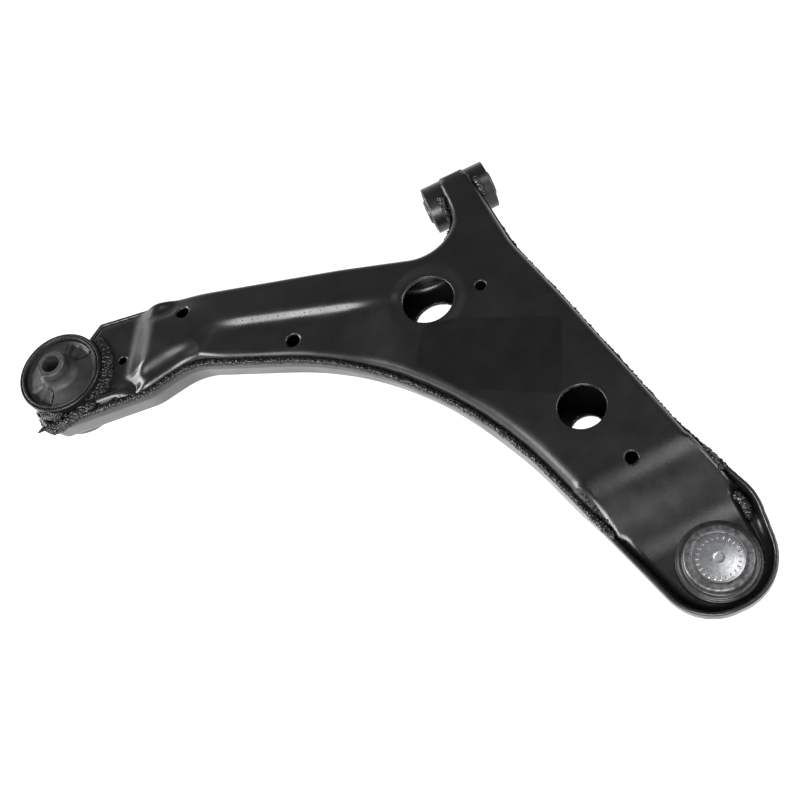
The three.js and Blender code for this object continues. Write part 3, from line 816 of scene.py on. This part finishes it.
def add_front_bush():
    h = FRONT_HALF
    add_turned("front_eye", ring_profile(14.9, FRONT_R, -h, h, 0.7), about_x, COAT, "arm",
               "front_eye_tube")
    add_turned("front_outer_sleeve", ring_profile(13.2, 14.6, -h - 0.4, h + 0.4, 0.4), about_x, BUSH_STEEL,
               "arm", "front_bush_outer_sleeve")
    rubber_profile = [(8.9, -h - 1, 0.5), (10.9, -h - 0.4, 1), (12.9, 1.5 - h, 0.8), (12.9, h - 1.5, 0.8),
                      (10.9, h + 0.4, 1), (8.9, h + 1, 0.5)]
    add_turned("front_rubber", rubber_profile, about_x, BUSH_RUBBER, "arm",
               "front_bush_rubber")
    add_turned("front_inner_sleeve", ring_profile(6.1, 8.6, -26, 26, 0.8), about_x, BUSH_STEEL,
               "front_sleeve", "front_bush_inner_sleeve", 64)


RECESS = 2.4                    # depth of the rear rubber's recesses and of their slits
SLIT = 9.0


def rear_rubber_shape(points):
    """A shallow wedge-shaped recess on either side of the sleeve, with a curved slit down one edge."""
    x, y, z = points.T
    r, angle = np.hypot(x, y), np.degrees(np.arctan2(y, x))
    depth = np.zeros(len(points))
    slit_turn = np.interp(r, [11, 16.5, 21, 27], [20, 3, 0, 4])
    for middle, half, side in ((38, 26, -1), (214, 26, 1)):
        off = (angle - middle + 180) % 360 - 180
        wedge = round_max(np.abs(r - 19.8) - 6.6, (np.abs(off) - half) * r * math.pi / 180, 2.5)
        slit = np.abs((off * side - half + slit_turn) * r * math.pi / 180)
        slit = np.maximum(slit - 0.8, np.abs(r - 20.5) - 6.0)
        fold = np.exp(-((off * side + 4) * r * math.pi / 180 / 1.6) ** 2) * (np.abs(r - 19) < 6)
        recess = RECESS * np.clip(-wedge / 2.5, 0, 1) - 1.2 * fold * np.clip(-wedge / 2, 0, 1)
        depth = np.maximum(depth, recess)
        depth = np.maximum(depth, SLIT * np.clip(-slit / 0.5, 0, 1))
    face = np.where(z > (REAR_TOP + REAR_BOTTOM) / 2, -1, 1)
    on_face = np.minimum(np.abs(z - REAR_TOP), np.abs(z - REAR_BOTTOM)) < 6.5
    return np.column_stack((x, y, z + face * depth * on_face))


def add_rear_bush():
    top, bottom = REAR_TOP, REAR_BOTTOM
    add_turned("rear_eye", ring_profile(29.9, REAR_R, bottom, top, 0.8), about_rear, COAT,
               "arm", "rear_eye_ring", 128)
    add_turned("rear_outer_sleeve", ring_profile(28.0, 29.6, bottom - 0.8, top + 0.6, 0.4), about_rear,
               HOUSING_STEEL, "arm", "rear_bush_outer_sleeve", 128)
    radii = np.arange(11.5, 27.2, 0.35)
    dish = np.interp(radii, [11.5, 13, 15, 25, 27.2], [4.2, 2.0, 0.6, -1.2, -1.0])
    upper = [(r, top - 1.5 + d, 0) for r, d in zip(radii, dish)]
    lower = [(r, bottom + 1.5 - d, 0) for r, d in zip(radii, dish)]
    profile = [(10.7, bottom - 5, 0.4)] + lower + [(27.7, bottom + 3, 0.4), (27.7, top - 3, 0.4)]
    profile += upper[::-1] + [(10.7, top + 5, 0.4)]
    add_turned("rear_rubber", profile, about_rear, BUSH_RUBBER, "arm", "rear_bush_rubber", 180,
               shape=rear_rubber_shape)
    add_rear_sleeve()


def add_rear_sleeve():
    """The inner sleeve, with a locating notch in its top end."""
    def notched(points):
        x, y, z = points.T
        turn = math.radians(215)
        u, v = x * math.cos(turn) + y * math.sin(turn), y * math.cos(turn) - x * math.sin(turn)
        deep = np.clip((u - 7.8) / 0.4, 0, 1) * np.clip((1.7 - np.abs(v)) / 0.3, 0, 1)
        return np.column_stack((x, y, np.where(z > SLEEVE_TOP - 2, z - 2.6 * deep, z)))
    top, bottom = SLEEVE_TOP, SLEEVE_BOTTOM
    radii = [6.9, 7.4, 7.8, 8.2, 8.8, 9.4, 9.9]
    profile = [(6.6, bottom, 0.5), (10.4, bottom, 0.5), (10.4, top - 0.7, 0.3)]
    profile += [(r, top, 0) for r in radii[::-1]] + [(6.6, top - 0.7, 0.3)]
    add_turned("rear_inner_sleeve", profile, about_rear, BUSH_STEEL, "rear_sleeve",
               "rear_bush_inner_sleeve", 144, shape=notched)


# ---------------------------------------------------------------- building: ball joint
def add_ball_joint():
    add_turned("joint_housing", [
        (12.6, -38.3, 0.4), (15.8, -38.3, 0.4), (15.8, -14, 0.2), (19, -13, 0.3), (21.6, -15.6, 0.4),
        (23.4, -15.7, 0.5), (24.0, -16.6, 0.4), (25.5, -17.0, 0.5), (25.5, -19.7, 0.4), (20.5, -19.7, 0.2),
        (20.5, -36.8, 0.6), (18.6, -37.2, 0.3), (18.6, -42, 0.3), (19.2, -42.4, 0.2), (19.2, -43.4, 0.2),
        (18.6, -44, 0.3), (16, -44, 0.4)], about_ball, HOUSING_STEEL, "arm",
        "ball_joint_housing", 128)
    add_turned("joint_crimped_rim", [
        (16.2, -12.6, 0.2), (15.2, -11.6, 0.3), (15.5, -10.5, 0.4), (17, -10.2, 0.6), (20, -10.4, 0.8),
        (21, -11.6, 0.6), (21, -15.4, 0.3), (20.2, -15.4, 0.2)], about_ball, CRIMP_STEEL,
        "arm", "ball_joint_housing", 160)
    add_cap()
    add_stud()
    add_nut()
    add_pin()


def add_cap():
    """A domed closing cap: a shallow round centre mark and a circle of plain raised ticks."""
    radii = np.concatenate((np.arange(0.6, 10.4, 0.5), np.arange(10.6, 14.4, 0.2), (14.8, 15.4, 16.0)))
    dome = np.interp(radii, [0, 2.6, 3.0, 3.4, 9, 13.6, 14.8, 16],
                     [-10.7, -10.7, -10.55, -10.5, -10.9, -11.6, -11.9, -12.1])
    profile = [(0, -10.7, 0)] + [(r, z, 0) for r, z in zip(radii, dome)]
    profile += [(16.7, -12.3, 0), (16.7, -13.6, 0), (0, -13.6, 0)]

    def ticked(points):
        x, y, z = points.T
        r, angle = np.hypot(x, y), np.degrees(np.arctan2(y, x))
        mark = np.clip((1.05 - np.abs(r - 12.6)) / 0.3, 0, 1) * (np.abs((angle % 15) - 7.5) < 1.6)
        return np.column_stack((x, y, z + 0.22 * mark * (z > -12.2)))
    add_turned("joint_cap", profile[::-1], about_ball, CAP_ZINC, "arm", "ball_joint_cap", 288,
               closed=False, shape=ticked)


def add_stud():
    """Ball, neck, taper and a 1.25 mm pitch thread that runs as a helix."""
    ball_z = BALL[2]
    rows = []
    for angle in np.linspace(0.22, 2.6, 40):
        rows.append((BALL_R * math.sin(angle), ball_z + BALL_R * math.cos(angle)))
    rows += [(6.5, -47), (6.6, -50), (7.4, -52.6), (8, -54), (8, -60)]
    rows += [(6.65, -75.3), (6.5, -75.8), (5.1, -76.2), (5.1, -77.4)]
    rows += [(5.9, z) for z in np.arange(-77.9, -93.2, -0.18)]
    rows += [(5.2, STUD_END + 0.4), (4.7, STUD_END)]
    profile = [(0, ball_z + 12.2, 0)] + [(r, z, 0) for r, z in rows] + [(0, STUD_END, 0)]

    def threaded(points):
        x, y, z = points.T
        r, turn = np.hypot(x, y), np.arctan2(y, x) / (2 * math.pi)
        phase = (z / THREAD_PITCH - turn) % 1
        cut = 0.62 * np.abs(2 * phase - 1)
        fade = np.clip((-77.6 - z) / 0.8, 0, 1) * np.clip((z + 93.7) / 0.8, 0, 1)
        scale = np.where((z < -77.5) & (r > 4), 1 - cut * fade / np.maximum(r, 1), 1)
        return np.column_stack((x * scale, y * scale, z))
    add_turned("joint_stud", profile[::-1], about_ball, STUD_STEEL, "stud", "ball_stud", 72,
               closed=False, shape=threaded)


def add_nut():
    """A slotted hexagon: chamfered by a cone, with six slots that reach past the pin."""
    flats, top, bottom, slot = 19.0, -79.0, -91.0, 5.4

    def field(x, y, z):
        x, y = x - BALL[0], y - BALL[1]
        value = np.maximum(z - top, bottom - z)
        for k in range(3):
            a = math.radians(60 * k + 30)
            value = round_max(value, np.abs(x * math.cos(a) + y * math.sin(a)) - flats / 2, 0.4)
        cone = (np.hypot(x, y) - 10.2) * 0.5 + np.abs(z - (top + bottom) / 2) * 0.86 - 5.6
        value = round_max(value, cone, 0.3)
        for k in range(3):
            a = math.radians(60 * k)
            across = np.abs(-x * math.sin(a) + y * math.cos(a)) - 1.9
            value = round_max(value, -round_max(across, z - bottom - slot, 1.2), 0.3)
        return np.maximum(value, 6.2 - np.hypot(x, y))
    reach = 12
    lowest = (BALL[0] - reach, BALL[1] - reach, bottom)
    highest = (BALL[0] + reach, BALL[1] + reach, top)
    points, faces, normals = surface_net(field, lowest, highest, 0.5)
    make_piece("joint_castle_nut", points, faces.tolist(), STUD_STEEL, "stud",
               normals=normals, replaces=["castle_nut"])


def add_pin():
    """Split pin: two half-round legs, a looped eye, the ends bent apart."""
    points, faces = [], []
    x, y = BALL[:2]
    z = PIN_Z
    wire_r = 1.3
    sides = 9

    def leg(route, half):
        route = np.array(route, float)
        length = run_length(route)
        s = np.linspace(0, length[-1], 60)
        line = np.stack([np.interp(s, length, route[:, k]) for k in range(3)], 1)
        line = np.array([line[max(0, i - 1):i + 2].mean(0) for i in range(len(line))])
        ahead = np.gradient(line, axis=0)
        ahead /= np.linalg.norm(ahead, axis=1)[:, None]
        base = len(points)
        for at, t in zip(line, ahead):
            up = np.cross(t, (0, 1, 0))
            up /= np.linalg.norm(up)
            for k in range(sides):
                a = math.pi * k / (sides - 1)
                across = np.array((0, 1, 0)) * wire_r * math.cos(a)
                points.append(at + across + up * half * wire_r * math.sin(a))
        for i in range(len(line) - 1):
            here = base + i * sides
            ahead_of_it = here + sides
            for k in range(sides):
                j = (k + 1) % sides
                faces.append([here + k, here + j, ahead_of_it + j, ahead_of_it + k])
        faces.append([base + k for k in range(sides)])
        faces.append([base + (len(line) - 1) * sides + k for k in range(sides)][::-1])
    for half in (1, -1):
        leg([(x - 16.4, y, z + 0.1 * half), (x - 15.6, y, z + half * 1.6), (x - 13.8, y, z + half * 2.0),
             (x - 12.2, y, z + half * 1.0), (x - 11, y, z + half * 0.1), (x + 10.6, y, z + half * 0.1),
             (x + 11.8, y, z + half * 0.9)], half)
    piece = make_piece("joint_split_pin", np.array(points), faces, STUD_STEEL, "stud",
                       replaces=["cotter_pin"])
    face_outwards(piece.data)


def add_boot():
    """The rubber boot in two pieces that meet at its widest."""
    outer = [(20.6, -37.4), (20.6, -41.6), (21.2, -43), (22.4, -46.8), (21.6, -50.4)]
    inner = [(18.9, -37.4), (18.9, -41.6), (19.7, -42.6), (20.6, -46.8), (19.9, -49.6)]
    upper = [(r, z, 0.8) for r, z in inner] + [(20.1, -49.2, 0), (21.8, -50.2, 0)]
    upper += [(r, z, 0.8) for r, z in outer[::-1][1:]]
    part = add_turned("boot_upper", upper, about_ball, BOOT_RUBBER, None, "dust_boot", 96)
    bottom = [(21.8, -50.2, 0), (20.1, -49.2, 0), (16.4, -52.8, 1), (12, -54.3, 0.5), (8.4, -55.4, 0.5),
              (8.4, -60.4, 0.5), (10.6, -60.4, 0.5), (10.6, -56.6, 0.6), (17.5, -54.4, 1.5)]
    lower = add_turned("boot_lower", bottom, about_ball, BOOT_RUBBER, None, "dust_boot", 96)
    ball = place([BALL])[0]

    def level(z):
        return (ball[0], ball[1], float(place([(0, 0, z)])[0][2]))
    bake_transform(part)
    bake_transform(lower)
    add_turned("boot_large_ring", ring_profile(20.9, 22.0, -40.6, -38.6, 0.5), about_ball, BUSH_STEEL,
               "arm", "boot_housing_ring")
    add_turned("boot_small_ring", ring_profile(10.9, 12.0, -59.6, -57.6, 0.5), about_ball, BUSH_STEEL,
               "boot_ring", "boot_stud_ring")


def dress_hidden_nodes():
    for node, material in (("ball_joint_bearing", POLYMER), ("ball_joint_pressure_disc", BUSH_STEEL)):
        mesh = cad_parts[node].data
        mesh.materials.clear()
        mesh.materials.append(material)


# ---------------------------------------------------------------- studio
def add_floor():
    """Plain glowing paper, a little brighter on the side that the arm's hollow edge mirrors."""
    size = 6.0
    mesh = bpy.data.meshes.new("floor")
    corners = [(-size, -size, 0), (size, -size, 0), (size, size, 0), (-size, size, 0)]
    mesh.from_pydata(corners, [], [(0, 1, 2, 3)])
    material = new_material("floor_paper", (0.14, 0.14, 0.14), 0.9, Emission_Strength=1.0)
    n = Nodes(material)
    n.shader.inputs["Emission Color"].default_value = (1, 1, 1, 1)
    hollow_side = n.add("ShaderNodeVectorMath", operation="DOT_PRODUCT")
    hollow_side.inputs[1].default_value = (-1.0, -1.0, 0.0)
    n.link(n.coordinates, hollow_side.inputs[0])
    n.set(Emission_Strength=n.ramp(hollow_side.outputs["Value"], -0.07, 0.03, 1.0, 1.55))
    mesh.materials.append(material)
    floor = bpy.data.objects.new("floor", mesh)
    floor.location.z = -0.0005
    bpy.context.scene.collection.objects.link(floor)


def add_light(name, place_at, target, size, power):
    lamp = bpy.data.lights.new(name, "AREA")
    lamp.shape = "RECTANGLE"
    lamp.size, lamp.size_y = size
    lamp.energy = power
    light = bpy.data.objects.new(name, lamp)
    light.location = place_at
    light.rotation_euler = (Vector(target) - Vector(place_at)).to_track_quat("-Z", "Y").to_euler()
    bpy.context.scene.collection.objects.link(light)


def add_world():
    """A light tent: bright from the floor to the horizon and dim overhead."""
    world = bpy.data.worlds.new("studio")
    world.use_nodes = True
    tree = world.node_tree
    background = tree.nodes["Background"]
    direction = tree.nodes.new("ShaderNodeTexCoord").outputs["Generated"]

    def ramp(value, low, high, to_low, to_high):
        node = tree.nodes.new("ShaderNodeMapRange")
        for key, number in (("From Min", low), ("From Max", high), ("To Min", to_low), ("To Max", to_high)):
            node.inputs[key].default_value = number
        tree.links.new(value, node.inputs["Value"])
        return node.outputs["Result"]

    height = tree.nodes.new("ShaderNodeSeparateXYZ")
    tree.links.new(direction, height.inputs[0])
    fade = ramp(height.outputs["Z"], 0.3, 0.75, 0.95, 0.1)
    # dimmer towards the far right, which the far edges of the arm mirror
    aside = tree.nodes.new("ShaderNodeVectorMath")
    aside.operation = "DOT_PRODUCT"
    aside.inputs[1].default_value = (0.8, 0.6, 0.0)
    tree.links.new(direction, aside.inputs[0])
    shade = ramp(aside.outputs["Value"], 0.25, 0.75, 1.0, 0.25)
    level = tree.nodes.new("ShaderNodeMath")
    level.operation = "MULTIPLY"
    tree.links.new(fade, level.inputs[0])
    tree.links.new(shade, level.inputs[1])
    tree.links.new(level.outputs["Value"], background.inputs["Strength"])
    background.inputs["Color"].default_value = (1, 1, 1, 1)
    bpy.context.scene.world = world


def add_studio():
    add_floor()
    add_world()
    middle = (0, 0, 0.05)
    add_light("near_box", (-0.8, -1.45, 1.55), middle, (1.6, 0.9), 90)
    add_light("left_box", (-1.9, 0.9, 0.8), middle, (1.6, 1.0), 75)
    add_light("right_box", (1.9, -0.3, 1.1), middle, (1.2, 0.8), 30)
    add_light("top_box", (0.75, -0.1, 1.9), middle, (0.7, 0.7), 9)
    bpy.context.scene.view_settings.view_transform = "Standard"


def add_camera():
    """Above the near side, looking down at the arm, rolled so that it lies across the frame."""
    lens = bpy.data.cameras.new("camera")
    lens.lens, lens.sensor_width = 54.0, 36.0
    camera = bpy.data.objects.new("camera", lens)
    right = Vector((0.9049, -0.3405, -0.2553)).normalized()
    back = Vector((0.0524, -0.5062, 0.8608))
    back = (back - right * back.dot(right)).normalized()
    up = back.cross(right)
    turn = Matrix((right, up, back)).transposed().to_4x4()
    at = place([(-56.9, -545.2, 679.5)])[0]
    camera.matrix_world = Matrix.Translation(Vector(at)) @ turn
    bpy.context.scene.collection.objects.link(camera)
    bpy.context.scene.camera = camera


add_studio()
add_camera()
add_pressing("upper_pressing", upper_field, -24, "upper_shell")
add_pressing("lower_pressing", lower_field, -DEPTH, "lower_shell")
add_label()
add_seam_welds()
add_eye_welds()
add_front_bush()
add_rear_bush()
add_ball_joint()
add_boot()
dress_hidden_nodes()
